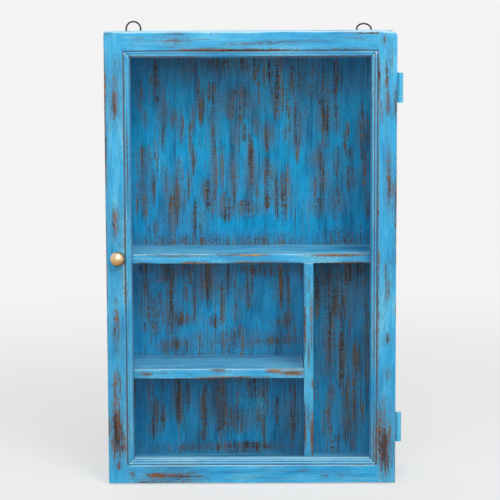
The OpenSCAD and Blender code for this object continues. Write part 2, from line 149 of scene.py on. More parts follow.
class Nodes:
    """Adds nodes to one material or world and links them."""

    def __init__(self, owner):
        owner.use_nodes = True
        self.owner = owner
        self.tree = owner.node_tree
        self.tree.nodes.clear()

    @cached_property
    def place(self):
        """Where the shaded point lies in the piece's own mesh."""
        return self.add("ShaderNodeTexCoord").outputs["Object"]

    def add(self, kind, **settings):
        """A new node with these properties."""
        made = self.tree.nodes.new(kind)
        for key, value in settings.items():
            setattr(made, key, value)
        return made

    def put(self, socket, value):
        """Links an output to a socket, or sets a constant on it."""
        if isinstance(value, bpy.types.NodeSocket):
            self.tree.links.new(value, socket)
        else:
            socket.default_value = value

    def output(self, kind, **inputs):
        """The first output of a new node with these inputs, named with _ for a space."""
        made = self.add(kind)
        for key, value in inputs.items():
            self.put(made.inputs[key.replace("_", " ")], value)
        return made.outputs[0]

    def math(self, operation, *values, clamp=False):
        """The result of one Math node."""
        made = self.add("ShaderNodeMath", operation=operation, use_clamp=clamp)
        for socket, value in zip(made.inputs, values):
            self.put(socket, value)
        return made.outputs[0]

    def times(self, value, factor, clamp=False):
        """value * factor, kept from 0 to 1 if clamp is set."""
        return self.math("MULTIPLY", value, factor, clamp=clamp)

    def total(self, *terms):
        """The sum of the terms."""
        result = terms[0]
        for term in terms[1:]:
            result = self.math("ADD", result, term)
        return result

    def scaled(self, value, factor, middle=0.5):
        """(value - middle) * factor"""
        return self.math("MULTIPLY_ADD", value, factor, -middle * factor)

    def ramp(self, value, low, high, to_low=0.0, to_high=1.0):
        """A smooth step of value from low to high."""
        made = self.add("ShaderNodeMapRange", interpolation_type="SMOOTHSTEP")
        for socket, given in zip(made.inputs, (value, low, high, to_low, to_high)):
            self.put(socket, given)
        return made.outputs[0]

    def mix(self, share, first, second):
        """The first colour where share is 0 and the second where it is 1."""
        made = self.add("ShaderNodeMix", data_type="RGBA")
        for number, given in zip(MIX_INPUTS, (share, first, second)):
            self.put(made.inputs[number], given)
        return made.outputs[MIX_OUTPUT]

    def field(self, sizes, detail=3.0, roughness=0.55, shift=0.0, warp=0.0):
        """Noise from 0 to 1 whose features have these sizes in mm along X, Y and Z."""
        scale = self.add("ShaderNodeVectorMath", operation="MULTIPLY_ADD")
        self.put(scale.inputs[0], self.place)
        scale.inputs[1].default_value = [1 / (size * MM) for size in sizes]
        scale.inputs[2].default_value = (shift, shift * 1.7, shift * 0.6)
        return self.output("ShaderNodeTexNoise", Vector=scale.outputs[0], Scale=1.0,
                           Detail=detail, Roughness=roughness, Distortion=warp)

    def attribute(self, name):
        """A value that the mesh holds on its points, or 0 where it holds none."""
        return self.add("ShaderNodeAttribute", attribute_name=name).outputs["Fac"]

    def geometry(self, name):
        """One output of the Geometry node."""
        return self.add("ShaderNodeNewGeometry").outputs[name]

    def upward(self, vector):
        """The Z part of a vector."""
        split = self.add("ShaderNodeSeparateXYZ")
        self.put(split.inputs[0], vector)
        return split.outputs["Z"]

    def bump(self, height, distance, strength):
        """A normal that follows height, whose full relief is distance."""
        return self.output("ShaderNodeBump", Strength=strength, Distance=distance, Height=height)

    def both(self, share, first, second):
        """The first shader where share is 0 and the second where it is 1."""
        made = self.add("ShaderNodeMixShader")
        for socket, given in zip(made.inputs, (share, first, second)):
            self.put(socket, given)
        return made.outputs[0]

    def finish(self, shader, kind="ShaderNodeOutputMaterial"):
        """Ends the material or world in this shader and returns it."""
        self.put(self.add(kind).inputs["Surface"], shader)
        return self.owner

    def principled(self, color, roughness, normal, **inputs):
        """Ends the material in one Principled shader."""
        return self.finish(self.output("ShaderNodeBsdfPrincipled", Base_Color=color,
                                       Roughness=roughness, Normal=normal, **inputs))


# Painted wood. Sizes of its patterns are in mm, and the other numbers are weights of the patterns
# and limits of the steps between them.

def along(grain, across, length):
    """One number for each axis: length in the grain's direction and across in the other two."""
    return [length if axis == grain else across for axis in "XYZ"]


class WoodNodes(Nodes):
    """Nodes of one painted surface, with the patterns that its paint, wear and wood share.

    The mesh's own edge, wear, stain and groove values say where hands and sandpaper have been and
    where glaze was left. The stain values also hold painted shade on the back panel, the groove
    values painted shade on the top rail's moulding, and the edge values painted highlight.
    """

    def __init__(self, name, grain):
        super().__init__(bpy.data.materials.new(name))
        self.hairs = self.field(along(grain, 0.75, 30), detail=2, roughness=0.6)
        self.lines = self.field(along(grain, 1.7, 80), roughness=0.6, shift=1.9, warp=0.1)
        self.streaks = self.field(along(grain, 5.0, 50), roughness=0.6, shift=3.1, warp=0.2)
        self.sweeps = self.field(along(grain, 16, 150), shift=4.4)
        self.cloud = self.field(along(grain, 18, 60), detail=2, shift=7.7)
        self.flecks = self.field(along(grain, 1.2, 4), roughness=0.65, shift=5.3)
        self.grit = self.field(along(grain, 0.7, 2.5), detail=2, roughness=0.7, shift=9.1)
        self.scores = self.field(along(grain, 0.9, 70), detail=2, shift=12.4)
        self.edge = self.attribute("edge")
        self.wear = self.attribute("wear")
        self.stain_and_shade = self.attribute("stain_and_shade")
        self.groove = self.attribute("groove")


def rubbing(n, loose, combed, chipped, solid):
    """Ribs of the brushed surface from 0 to 1, and how far the paint is rubbed off."""
    ribs = n.total(n.scaled(n.hairs, 1.2), n.scaled(n.lines, 1.0), n.scaled(n.flecks, chipped),
                   n.scaled(n.grit, 0.9), 0.5)
    if combed:
        teeth = n.field(along("X", 1.3, 30), detail=2, shift=6.6)
        ribs = n.total(ribs, n.scaled(teeth, combed))
    ribs = n.ramp(ribs, 0.38, 0.66)
    patch = n.ramp(n.total(n.cloud, n.scaled(n.streaks, 0.8)), 0.50, 0.78, 0.0, loose)
    mask = n.total(n.math("MAXIMUM", n.wear, patch), n.times(n.edge, 0.42),
                   n.scaled(n.streaks, 0.5))
    core = n.math("MAXIMUM", n.scaled(mask, 0.9, middle=1.0), 0.0)
    core = n.times(core, n.total(n.scaled(n.grit, 2.4), n.scaled(ribs, 0.7), 1.1))
    filled = n.math("MULTIPLY_ADD", ribs, 1.2 - solid, solid)
    return ribs, n.total(n.times(mask, filled), core)


def blue_paint(n, paints, ribs, thin):
    """Brushed paint with painted light on its tops and arrises, thin at the wear and stained round
    it.
    """
    deep, middle, pale, worn_thin = paints
    facing = n.upward(n.geometry("Normal"))
    # Painted light from above: paint that faces up is paler, in broad streaks.
    painted_top_light = n.ramp(facing, 0.6, 0.95)
    swept = n.total(n.scaled(n.sweeps, 3.4), 0.32)
    # The arris value also makes arrises and the moulding's crests paler, as painted highlight.
    tone = n.total(n.scaled(n.lines, 0.8), n.scaled(n.streaks, 1.1), n.scaled(n.cloud, 1.2),
                   n.scaled(n.hairs, 0.7), n.times(painted_top_light, swept), n.times(n.edge, 0.3), 0.50)
    paint = n.mix(n.ramp(tone, 0.0, 0.52), deep, middle)
    paint = n.mix(n.ramp(tone, 0.5, 1.0), paint, pale)
    specks = n.ramp(n.total(n.hairs, n.scaled(n.flecks, 0.9), n.scaled(n.lines, 0.5)), 0.54, 0.74)
    paint = n.mix(n.math("MAXIMUM", n.times(thin, 0.8), n.times(specks, 0.55)), paint, worn_thin)
    # Painted highlight: arrises that face up turn almost white.
    painted_highlight = n.times(n.ramp(facing, 0.1, 0.6), n.times(n.edge, 3.0, clamp=True))
    paint = n.mix(painted_highlight, paint, PAINTED_HIGHLIGHT)
    # The stain colour is real stain round the wear, and on the back panel also painted shade.
    brown = n.times(n.stain_and_shade, n.math("MULTIPLY_ADD", ribs, 0.45, 0.5), clamp=True)
    return n.mix(n.times(brown, 0.75), paint, STAIN_AND_SHADE)


def bare_wood(n, woods):
    """The wood under the paint, brightest on its arrises."""
    dark, middle, bright = woods
    tint = n.total(n.scaled(n.hairs, 1.4), n.scaled(n.flecks, 1.0), n.scaled(n.streaks, 1.6),
                   n.scaled(n.grit, 1.6), 0.38)
    lit = n.times(n.ramp(tint, 0.45, 0.95), n.total(n.edge, 0.52), clamp=True)
    return n.mix(lit, n.mix(n.ramp(tint, 0.1, 0.8), dark, middle), bright)


def painted_wood(name, grain, paints=FRAME_PAINT, woods=FRAME_WOOD, loose=0.0, combed=0.0,
                 scored=0.35, chipped=1.1, solid=0.35, gloss=0.25):
    """Blue paint brushed along the grain and rubbed back to stained wood.

    loose is how much it is rubbed away from the marks, combed adds scratches along X, scored adds
    fine dark lines along the grain, chipped breaks the worn spots up and solid fills them.
    """
    n = WoodNodes(name, grain)
    ribs, rubbed = rubbing(n, loose, combed, chipped, solid)
    bare = n.ramp(rubbed, 0.50, 0.84)
    paint = blue_paint(n, paints, ribs, n.ramp(rubbed, 0.14, 0.66))
    score = n.ramp(n.total(n.scores, n.scaled(n.streaks, 0.8)), 0.60, 0.74, 0.0, scored)
    color = n.mix(score, n.mix(bare, paint, bare_wood(n, woods)), woods[0])
    uneven = n.ramp(n.total(n.cloud, n.scaled(n.lines, 0.8)), 0.22, 0.50)
    # Glaze in the grooves, on the top rail's moulding also painted shade
    color = n.mix(n.times(n.groove, uneven, clamp=True), color, GLAZE_AND_SHADE)
    rough = n.total(n.times(bare, 0.22), n.scaled(n.lines, 0.3), 0.48)
    relief = n.total(n.times(n.lines, 0.5), n.times(n.hairs, 0.5), n.times(n.streaks, 0.3),
                     n.times(bare, -0.5))
    return n.principled(color, rough, n.bump(relief, 0.4 * MM, 0.6), Specular_IOR_Level=gloss)


PAINTED = {grain: painted_wood(f"painted_wood_{grain.lower()}", grain, loose=0.35)
           for grain in "XZ"}
SHELF = painted_wood("painted_shelf", "X", SHELF_PAINT_LIT, SHELF_WOOD, loose=0.35)
PANEL = painted_wood("painted_panel", "Z", PANEL_PAINT_SHADED, PANEL_WOOD, loose=0.8, combed=0.45,
                     scored=0.5, chipped=0.6, gloss=0.1, solid=0.14)


# Finishes of the small pieces. Sizes of their patterns are in mm.

def metal(n, color, dark, rough, scratched=0.3, first=0.45, spots=0.5):
    """Metal with tarnish in soft spots and fine scratches."""
    cloud = n.field([3.0] * 3, detail=4, roughness=0.6)
    fine = n.field([0.5] * 3, detail=2, shift=2.3)
    tarnish = n.ramp(n.total(cloud, n.scaled(fine, scratched)), first, 0.75, 0.0, spots)
    rough = n.total(n.times(tarnish, 0.3), n.scaled(fine, 0.15), rough)
    return n.principled(n.mix(tarnish, color, dark), rough, n.bump(fine, 0.06 * MM, 0.4),
                        Metallic=1.0)


def steel(name, color, dark, rough):
    """Steel of one colour."""
    return metal(Nodes(bpy.data.materials.new(name)), color, dark, rough)


def brass_with_painted_light():
    """Brass, pale above as painted highlight and warm below as painted shade, with brown tarnish
    spots.
    """
    n = Nodes(bpy.data.materials.new("brass"))
    low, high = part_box("knob")
    middle = (low.z + high.z) / 2
    cloud = n.field([3.0] * 3, detail=4, roughness=0.6)
    height = n.total(n.upward(n.place), n.scaled(cloud, 5 * MM))
    # Painted highlight above the knob's middle and painted shade below it
    above = n.ramp(height, middle - 6.5 * MM, middle + 3.5 * MM)
    return metal(n, n.mix(above, BRASS_PAINTED_SHADE, BRASS_PAINTED_HIGHLIGHT), BRASS_BROWN, 0.32, scratched=0.4,
                 first=0.48, spots=0.6)


def dull(name, light, dark, rough):
    """A dull finish, mottled and finely grained."""
    n = Nodes(bpy.data.materials.new(name))
    cloud = n.field([8.0] * 3)
    fine = n.field([0.5] * 3, detail=2, shift=2.3)
    tone = n.total(n.scaled(cloud, 1.2), n.scaled(fine, 0.5), 0.5)
    return n.principled(n.mix(n.ramp(tone, 0.1, 0.9), dark, light),
                        n.total(n.scaled(fine, 0.2), rough), n.bump(fine, 0.05 * MM, 0.5))


# Glass. FILM is how strong its film and dust are, and the dust thins out between two heights.

GLASS_IOR = 1.15
GLASS_ROUGHNESS = 0.02
FILM = 0.005
DUST_HEIGHTS = (0.20, 0.26)


def clear_glass():
    """Thin clear glass that mirrors faintly on its outward faces, with a film and dust below.

    Lamps shine straight through it.
    """
    n = Nodes(bpy.data.materials.new("clear_glass"))
    clear = n.output("ShaderNodeBsdfTransparent", Color=GLASS_CLEAR)
    shine = n.output("ShaderNodeBsdfGlossy", Roughness=GLASS_ROUGHNESS)
    haze = n.output("ShaderNodeBsdfDiffuse", Color=GLASS_DUST)
    outward = n.math("SUBTRACT", 1.0, n.geometry("Backfacing"))
    mirror = n.times(n.output("ShaderNodeFresnel", IOR=GLASS_IOR), outward)
    cloud = n.field([60, 60, 90], roughness=0.5)
    smear = n.field([14, 14, 120], shift=4.0)
    film = n.ramp(n.total(cloud, n.scaled(smear, 0.6)), 0.40, 0.9, 0.0, FILM)
    dust = n.ramp(n.upward(n.place), *DUST_HEIGHTS, FILM, 0.0)
    return n.finish(n.both(n.total(film, dust), n.both(mirror, clear, shine), haze))


FINISHES = {
    "glass": clear_glass(),
    "brass": brass_with_painted_light(),
    "dark_steel": steel("dark_steel", srgb(58, 62, 74), srgb(30, 28, 30), 0.42),
    "plated_steel": steel("plated_steel", srgb(196, 196, 190), srgb(120, 112, 100), 0.30),
    "nail_steel": steel("nail_steel", srgb(110, 108, 106), srgb(70, 52, 42), 0.45),
    "catch_plastic": dull("catch_plastic", srgb(104, 70, 44), srgb(72, 46, 30), 0.5),
    "ferrite": dull("ferrite", srgb(58, 58, 62), srgb(36, 36, 38), 0.6),
    "painted_hinge": painted_wood("painted_hinge", "Z", HINGE_PAINT),
}


# Wooden boards

ARRIS = 0.9 * MM
ARRIS_FADE = 1.1 * MM
ARRIS_CUTS = (0, 0.3, 0.7, 1.35, 2.8)
THINNEST_ARRIS = 0.01 * MM
UNEVEN = 0.12 * MM
TINY = 1e-9


def cuts(low, high, step):
    """Places along one side of a board, closer together at its two arrises."""
    ends = [share * ARRIS for share in ARRIS_CUTS]
    count = max(2, round((high - low - 2 * ends[-1]) / step))
    middle = np.linspace(low + ends[-1], high - ends[-1], count + 1)[1:-1]
    return np.array([low + e for e in ends] + list(middle) + [high - e for e in reversed(ends)])


def box_lattice(axes):
    """Points and quads over the outside of a box that is cut at the given places."""
    sizes = [len(a) for a in axes]
    index = {}
    points = []

    def point(key):
        if key not in index:
            index[key] = len(points)
            points.append([axes[i][key[i]] for i in range(3)])
        return index[key]

    quads = []
    for axis in range(3):
        u, v = (axis + 1) % 3, (axis + 2) % 3
        for end in (0, sizes[axis] - 1):
            for i in range(sizes[u] - 1):
                for j in range(sizes[v] - 1):
                    corners = []
                    for a, b in ((i, j), (i + 1, j), (i + 1, j + 1), (i, j + 1)):
                        key = [0, 0, 0]
                        key[axis], key[u], key[v] = end, a, b
                        corners.append(point(tuple(key)))
                    quads.append(corners if end else corners[::-1])
    return np.array(points), quads


def wobble(points, sizes, seed):
    """Smooth noise about 0 at each point, with features of the given sizes."""
    scaled = points / np.array(sizes) + seed
    return np.array([noise.noise(Vector(p)) for p in scaled])


def board(low, high, steps, seed, grain, hidden=None, soft=None):
    """A solid board with worn arrises. Returns points, quads and each point's arris value.

    hidden(points) is 1 where an arris lies in a joint and shows no wear, and soft(points) says how
    many times rounder than usual it is.
    """
    low, high = np.array(low), np.array(high)
    points, quads = box_lattice([cuts(low[i], high[i], steps[i]) for i in range(3)])
    worn = wobble(points, along(grain, 9 * MM, 30 * MM), seed)
    radius = ARRIS * np.clip(0.85 + 0.9 * worn, 0.3, 1.3) + THINNEST_ARRIS
    radius = radius * (soft(points) if soft else 1)
    radius = np.minimum(radius, (high - low).min() * 0.45)[:, None]
    inner = np.clip(points, low + radius, high - radius)
    out = points - inner
    out = out / np.maximum(np.linalg.norm(out, axis=1, keepdims=True), TINY)
    depth = UNEVEN * (0.5 + 0.5 * wobble(points, [25 * MM] * 3, seed + 9))
    moved = inner + out * np.maximum(radius - depth[:, None], 0)
    gaps = np.sort(np.minimum(points - low, high - points), axis=1)
    edge = np.exp(-gaps[:, 1] / ARRIS_FADE)
    return moved, quads, edge * (1 - hidden(points)) if hidden else edge


def add_mesh(name, points, quads, values, material):
    """One mesh object with named values on its points."""
    mesh = bpy.data.meshes.new(name)
    mesh.from_pydata([tuple(p) for p in points], [], quads)
    work = bmesh.new()
    work.from_mesh(mesh)
    bmesh.ops.recalc_face_normals(work, faces=work.faces)
    work.to_mesh(mesh)
    work.free()
    for key, numbers in values.items():
        mesh.attributes.new(key, "FLOAT", "POINT").data.foreach_set("value", numbers)
    mesh.shade_smooth()
    mesh.materials.append(material)
    return placed(name, mesh)


def body_of_node(node):
    """The body that the CAD node belongs to."""
    return next(b for b, nodes in frame["record"]["behaviour"]["bodies"].items() if node in nodes)


SLOTS = {s["node"]: s["material_slot"] for s in frame["record"]["subparts"]}


def stand_for(piece, node):
    """The piece takes the CAD node's place, body and slot."""
    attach(piece, body_of_node(node))
    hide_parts(node)


# Wear. A mark is a place across the grain, two ends along it and a half width, all in mm, and a
# strength.

FADE_SHARE = 0.4
FADE_LEAST = 1.5


def strokes(points, grain, marks, spread=1.5, longer=0.12):
    """How worn the marks leave each point.

    spread widens each mark and longer carries it past its ends, by that share of its length.
    """
    across = points[:, 2 if grain == "X" else 0] / MM
    length = points[:, 0 if grain == "X" else 2] / MM
    worn = np.zeros(len(points))
    for middle, start, end, half, strength in marks:
        reach = longer * (end - start)
        fade = FADE_SHARE * (end - start) + FADE_LEAST
        ends = (np.clip((length - start + reach) / fade, 0, 1)
                * np.clip((end + reach - length) / fade, 0, 1))
        side = np.exp(-((across - middle) / (spread * half)) ** 2)
        worn = np.maximum(worn, strength * side * ends)
    return worn


LEFT_STILE_MARKS = [
    (-134, 418, 436, 1.5, 0.5), (-135.5, 356, 426, 2.8, 0.85), (-135.3, 366, 406, 2.3, 1.4),
    (-144.3, 290, 436, 1.2, 1.15), (-135.5, 244, 287, 3.2, 0.85), (-131, 238, 252, 1.4, 0.6),
    (-136, 100, 225, 4.0, 0.34), (-136.5, 180, 197, 2.2, 0.55), (-136.3, 138, 188, 3.0, 0.78),
    (-136, 130, 158, 2.6, 0.5), (-136, 100, 116, 1.6, 0.75), (-135.8, 72, 124, 3.4, 0.85),
    (-136.4, 22, 88, 3.6, 1.5), (-130.5, 28, 62, 2.2, 0.9), (-135, 14, 27, 1.8, 0.95),
    (-143.8, 50, 72, 1.0, 1.1), (-138.5, 60, 100, 1.2, 0.6), (-130, 200, 240, 1.0, 0.5),
    (-144.3, 110, 290, 0.8, 0.5), (-141, 449, 458, 2.0, 0.75),
    (-122.7, 276, 380, 0.55, 1.1),
]
RIGHT_STILE_MARKS = [
    (131.5, 440, 455, 1.3, 0.85), (134.5, 395, 430, 1.5, 0.85), (136, 370, 402, 1.7, 0.95),
    (127.4, 385, 432, 0.7, 1.1), (129, 360, 392, 1.3, 0.7), (138.5, 410, 450, 1.0, 0.6),
    (133, 400, 445, 0.9, 0.5), (143.8, 370, 405, 1.1, 1.1), (143.8, 210, 340, 0.9, 0.7),
    (136.8, 272, 344, 1.6, 1.0), (141, 290, 309, 1.4, 0.7), (127.2, 60, 345, 0.6, 0.7),
    (134.5, 205, 232, 1.6, 0.6), (135.5, 177, 221, 1.7, 0.6), (138, 185, 215, 1.2, 0.6),
    (136.5, 141, 157, 2.2, 0.85), (137, 103, 123, 1.6, 0.8), (133, 40, 96, 5.5, 0.7),
    (133, 4, 74, 5.4, 1.2), (133.6, 8, 66, 4.4, 1.5), (128.6, 16, 66, 1.3, 0.95),
]
TOP_RAIL_MARKS = [
    (447.8, -100, -50, 1.8, 0.7), (447, -90, -60, 2.6, 0.75), (446, -2, 62, 0.9, 0.85),
    (444, -40, 44, 0.9, 0.8), (446.5, 42, 84, 0.9, 0.6), (449.5, 80, 118, 0.8, 0.5),
    (438, -90, 36, 0.9, 1.3), (438, 36, 124, 0.8, 0.8), (454.3, -139, -126, 0.9, 1.1),
    (454.3, -88, -60, 0.8, 0.9), (454.4, 86, 142, 0.5, 1.2), (449, -120, -100, 1.6, 0.6),
]
BOTTOM_RAIL_MARKS = [
    (9.0, -118, -44, 4.4, 0.8), (8.0, -104, -54, 3.0, 0.95), (11, -127, -116, 2.2, 0.95),
    (7.5, -60, -42, 1.0, 0.8), (12.5, -26, -6, 1.0, 0.7), (14, 44, 60, 1.0, 0.75),
    (9, 68, 80, 1.6, 0.9), (9.5, 84, 98, 1.5, 0.85), (9, 96, 110, 1.2, 0.75),
    (2.4, -122, -90, 0.8, 1.0), (13.5, -4, 40, 0.8, 0.5),
]
LONG_SHELF_MARKS = [
    (231.6, -113, -50, 0.8, 1.15), (231.9, -46, 24, 0.8, 1.2), (230.9, 58, 120, 1.1, 1.25),
    (230.2, 60, 92, 1.0, 1.0), (224.2, -118, -98, 0.9, 1.0), (224.2, -70, -38, 0.9, 1.1),
    (224.2, -30, 42, 0.9, 1.2), (224.2, 78, 122, 0.9, 1.3),
]
SHORT_SHELF_MARKS = [
    (110.6, -116, -99, 1.3, 1.25), (111.4, -96, -84, 0.8, 0.9), (113.8, -43, -26, 1.1, 1.3),
    (106.4, -55, 12, 1.0, 1.25), (106.6, 8, 22, 0.9, 1.0), (112.4, 12, 34, 1.3, 1.6),
    (110.9, 26, 55, 1.5, 1.7), (110.2, -70, -58, 0.8, 0.7),
]
DIVIDER_MARKS = [
    (54.1, 131, 184, 1.0, 1.2), (58, 192, 214, 0.9, 0.9), (58, 110, 150, 0.8, 0.8),
    (54, 30, 80, 1.0, 1.3), (57.4, 48, 82, 0.9, 1.2), (61.4, 24, 72, 1.0, 1.2),
    (54, 185, 222, 0.9, 0.8), (61.6, 96, 104, 1.2, 1.3), (60.6, 120, 200, 0.8, 0.7),
]

# Painted shade on the back panel, darker under the top board and the shelves, in the same form as
# marks. The first six panel marks are broad ones there as well, painted shade as well as wear, and
# the seventh is a broad one low on the panel.
PANEL_PAINTED_SHADE = [
    (-10, 400, 472, 90, 1.0), (68, 380, 460, 42, 0.6), (-60, 200, 246, 60, 0.9),
    (20, 204, 246, 30, 0.8), (97, 150, 246, 26, 0.8), (-40, 84, 120, 70, 0.8),
]
PANEL_MARKS = [
    (-10, 420, 458, 80, 0.6), (68, 384, 452, 42, 0.55), (-60, 204, 240, 60, 0.65),
    (20, 206, 240, 30, 0.65), (97, 190, 240, 26, 0.75), (-40, 88, 116, 70, 0.65),
    (-40, 4, 24, 70, 0.35),
    (-115.5, 374, 407, 1.4, 1.0), (-110.5, 356, 375, 1.1, 1.0), (-98, 383, 424, 2.8, 0.8),
    (-92, 355, 390, 2.0, 1.1), (-93, 335, 360, 1.1, 1.0), (-81, 358, 376, 2.0, 0.9),
    (-73.5, 342, 370, 1.5, 0.8), (-57.5, 407, 424, 1.3, 1.0), (-55, 386, 410, 1.2, 0.95),
    (-52, 364, 390, 1.8, 1.2), (-41, 383, 402, 2.8, 1.1), (-39, 332, 386, 2.0, 0.8),
    (-60.5, 350, 380, 0.9, 0.8), (-14.5, 366, 398, 9.5, 0.9), (-14.5, 334, 364, 2.2, 0.9),
    (-7, 344, 360, 1.7, 1.0), (-2, 331, 348, 1.1, 1.1), (4.5, 407, 428, 2.2, 1.1),
    (6, 349, 370, 1.4, 1.0), (18, 403, 424, 4.2, 1.1), (27.5, 370, 411, 2.6, 1.15),
    (17.5, 333, 362, 2.1, 1.2), (36, 341, 356, 1.2, 0.8), (43, 392, 419, 2.0, 1.1),
    (48, 331, 386, 2.6, 0.95), (56.5, 365, 382, 1.2, 0.8), (72, 381, 411, 5.2, 0.8),
    (77.5, 348, 383, 3.2, 1.1), (89, 346, 382, 1.5, 0.9), (89, 390, 426, 4.2, 0.7),
    (76.5, 334, 345, 2.2, 0.9), (116, 331, 376, 1.7, 1.1), (122, 333, 364, 1.7, 1.0),
    (-112, 302, 335, 2.6, 0.9), (-113, 266, 307, 2.4, 1.0), (-102.5, 280, 311, 1.2, 1.0),
    (-88.5, 278, 314, 1.7, 0.95), (-76, 304, 324, 1.1, 1.0), (-78.5, 262, 306, 2.4, 1.3),
    (-83.5, 244, 282, 4.2, 0.75), (-100.5, 244, 259, 1.7, 1.0), (-65, 286, 311, 1.1, 1.1),
    (-60.5, 310, 335, 1.2, 1.0), (-70, 269, 292, 1.3, 0.8), (-57.5, 240, 279, 4.0, 0.75),
    (-45, 274, 302, 2.6, 1.25), (-40, 264, 299, 1.7, 1.0), (-37.5, 290, 335, 1.8, 1.1),
    (-30.5, 295, 335, 0.9, 0.9), (-19, 279, 333, 2.0, 1.0), (-26.5, 261, 285, 4.8, 1.05),
    (0, 282, 333, 2.2, 1.2), (-4, 264, 280, 6.0, 1.15), (6, 284, 296, 1.3, 1.0),
    (17, 295, 322, 2.7, 1.2), (17.5, 273, 293, 2.8, 1.0), (27, 266, 302, 1.6, 1.3),
    (34.5, 262, 303, 3.2, 0.95), (38.5, 277, 315, 1.1, 0.9), (71, 313, 334, 3.2, 1.1),
    (75.5, 284, 316, 2.7, 1.2), (67, 282, 306, 1.7, 0.9), (89.5, 304, 335, 2.2, 0.8),
    (103.5, 320, 335, 1.6, 0.9), (104.5, 288, 316, 3.2, 0.9), (119, 292, 335, 1.5, 1.0),
    (90, 262, 296, 4.2, 0.75), (72, 262, 285, 5.2, 0.7), (122.5, 262, 292, 1.6, 0.8),
    (-112, 204, 212, 9.0, 1.0), (-85.5, 194, 213, 8.0, 1.0), (-96, 193, 198, 16, 0.8),
    (-112, 174, 203, 1.8, 1.0), (-85, 176, 199, 1.7, 1.1), (-65, 193, 205, 1.6, 1.1),
    (-46, 174, 214, 4.2, 1.35), (-106.5, 150, 180, 5.2, 0.8), (-97, 151, 180, 2.8, 0.95),
    (-86, 138, 182, 3.7, 0.85), (-69.5, 172, 192, 1.2, 1.0), (-60.5, 158, 190, 1.1, 0.85),
    (-74, 148, 160, 5.2, 1.1), (-101.5, 138, 152, 2.2, 1.0), (-112, 139, 150, 1.7, 0.9),
    (-93, 119, 131, 2.8, 1.1), (-81.5, 121, 134, 3.7, 1.2), (-68, 122, 131, 2.7, 1.1),
    (-39.5, 145, 157, 2.8, 1.3), (-24.5, 181, 211, 2.2, 1.0), (-31, 161, 191, 1.5, 1.0),
    (-12.5, 171, 191, 1.5, 1.0), (-3, 168, 196, 1.8, 1.0), (1, 200, 213, 3.2, 1.1),
    (-17, 153, 172, 1.7, 0.85), (-17, 119, 143, 20, 0.75), (-12.5, 121, 147, 1.5, 1.1),
    (18, 200, 213, 18, 0.85), (31, 169, 205, 1.8, 1.2), (38.5, 168, 197, 1.2, 1.0),
    (37.5, 145, 163, 2.0, 1.3), (30, 146, 154, 3.2, 1.0), (20, 127, 134, 20, 0.95),
    (39.5, 126, 139, 2.0, 1.2), (45, 135, 153, 1.1, 0.9), (69.5, 159, 197, 1.8, 1.0),
    (81, 179, 203, 1.8, 0.9), (86.5, 159, 187, 2.8, 1.2), (82.5, 104, 163, 3.2, 1.1),
    (95, 193, 208, 2.2, 0.95), (95, 153, 183, 3.2, 1.3), (95.5, 78, 148, 1.9, 1.2),
    (104, 133, 181, 0.9, 0.9), (122.5, 81, 172, 1.8, 1.0), (110.5, 81, 128, 3.2, 0.85),
    (84.5, 59, 85, 1.4, 1.1), (81.5, 32, 69, 1.4, 1.1), (100, 26, 75, 2.6, 0.85),
    (107.5, 22, 85, 2.6, 1.1), (-78, 45, 92, 1.7, 1.4), (-68, 58, 85, 1.7, 0.9),
    (-102.5, 46, 68, 2.2, 1.1), (-95, 41, 60, 1.7, 1.0), (-105.5, 27, 45, 1.7, 1.1),
    (-50.5, 41, 79, 2.2, 1.1), (-52, 25, 36, 1.7, 1.2), (-32.5, 34, 92, 3.2, 1.15),
    (-19, 32, 58, 7.7, 0.95), (2, 69, 92, 2.8, 1.0), (-16, 11, 21, 24, 1.15),
    (-82, 14, 19, 26, 0.8), (26.5, 44, 68, 1.5, 1.1), (43, 24, 79, 3.2, 1.0),
    (12.5, 26, 62, 1.0, 0.9), (9, 13, 21, 10, 1.0), (95, 23, 27, 14, 1.0),
]


# Measures of the door and the case

top_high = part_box("top_board")[1]
half_w = top_high.x
inner_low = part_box("bottom_board")[1].z
inner_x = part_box("right_side")[0].x
stile_low, stile_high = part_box("door_left_stile")
door_front, door_back = stile_low.y, stile_high.y
door_low, door_high = stile_low.z, stile_high.z
sight_x = -stile_high.x
sight_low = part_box("door_bottom_rail")[1].z
sight_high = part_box("door_top_rail")[0].z

MOULD_WIDTH = 7.0
flat_x = sight_x + MOULD_WIDTH * MM
flat_low = sight_low - MOULD_WIDTH * MM
flat_high = sight_high + MOULD_WIDTH * MM
flat_middle = (flat_low + flat_high) / 2
flat_half = (flat_high - flat_low) / 2


# Moulding round the glass, in mm. Its section is distance from the flat and depth behind the
# door's face, and it is sunk a little into the flat.

REED_RADIUS = 1.4
REED_STEPS = 8
SINK = 0.4
STRIP_DEPTH = 15.9
RABBET_DEPTH = 7.0
RABBET_WALL = 1.0
CARVED_UNEVEN = 0.10
CARVED_LENGTH = 14
MOULD_STEP = 4


def reed(start, width, crest):
    """Points of one rounded reed whose highest line lies crest behind the face."""
    half = math.asin(width / 2 / REED_RADIUS)
    turns = [half * (2 * i / REED_STEPS - 1) for i in range(REED_STEPS + 1)]
    return [(start + width / 2 + REED_RADIUS * math.sin(a),
             crest + REED_RADIUS * (1 - math.cos(a))) for a in turns]


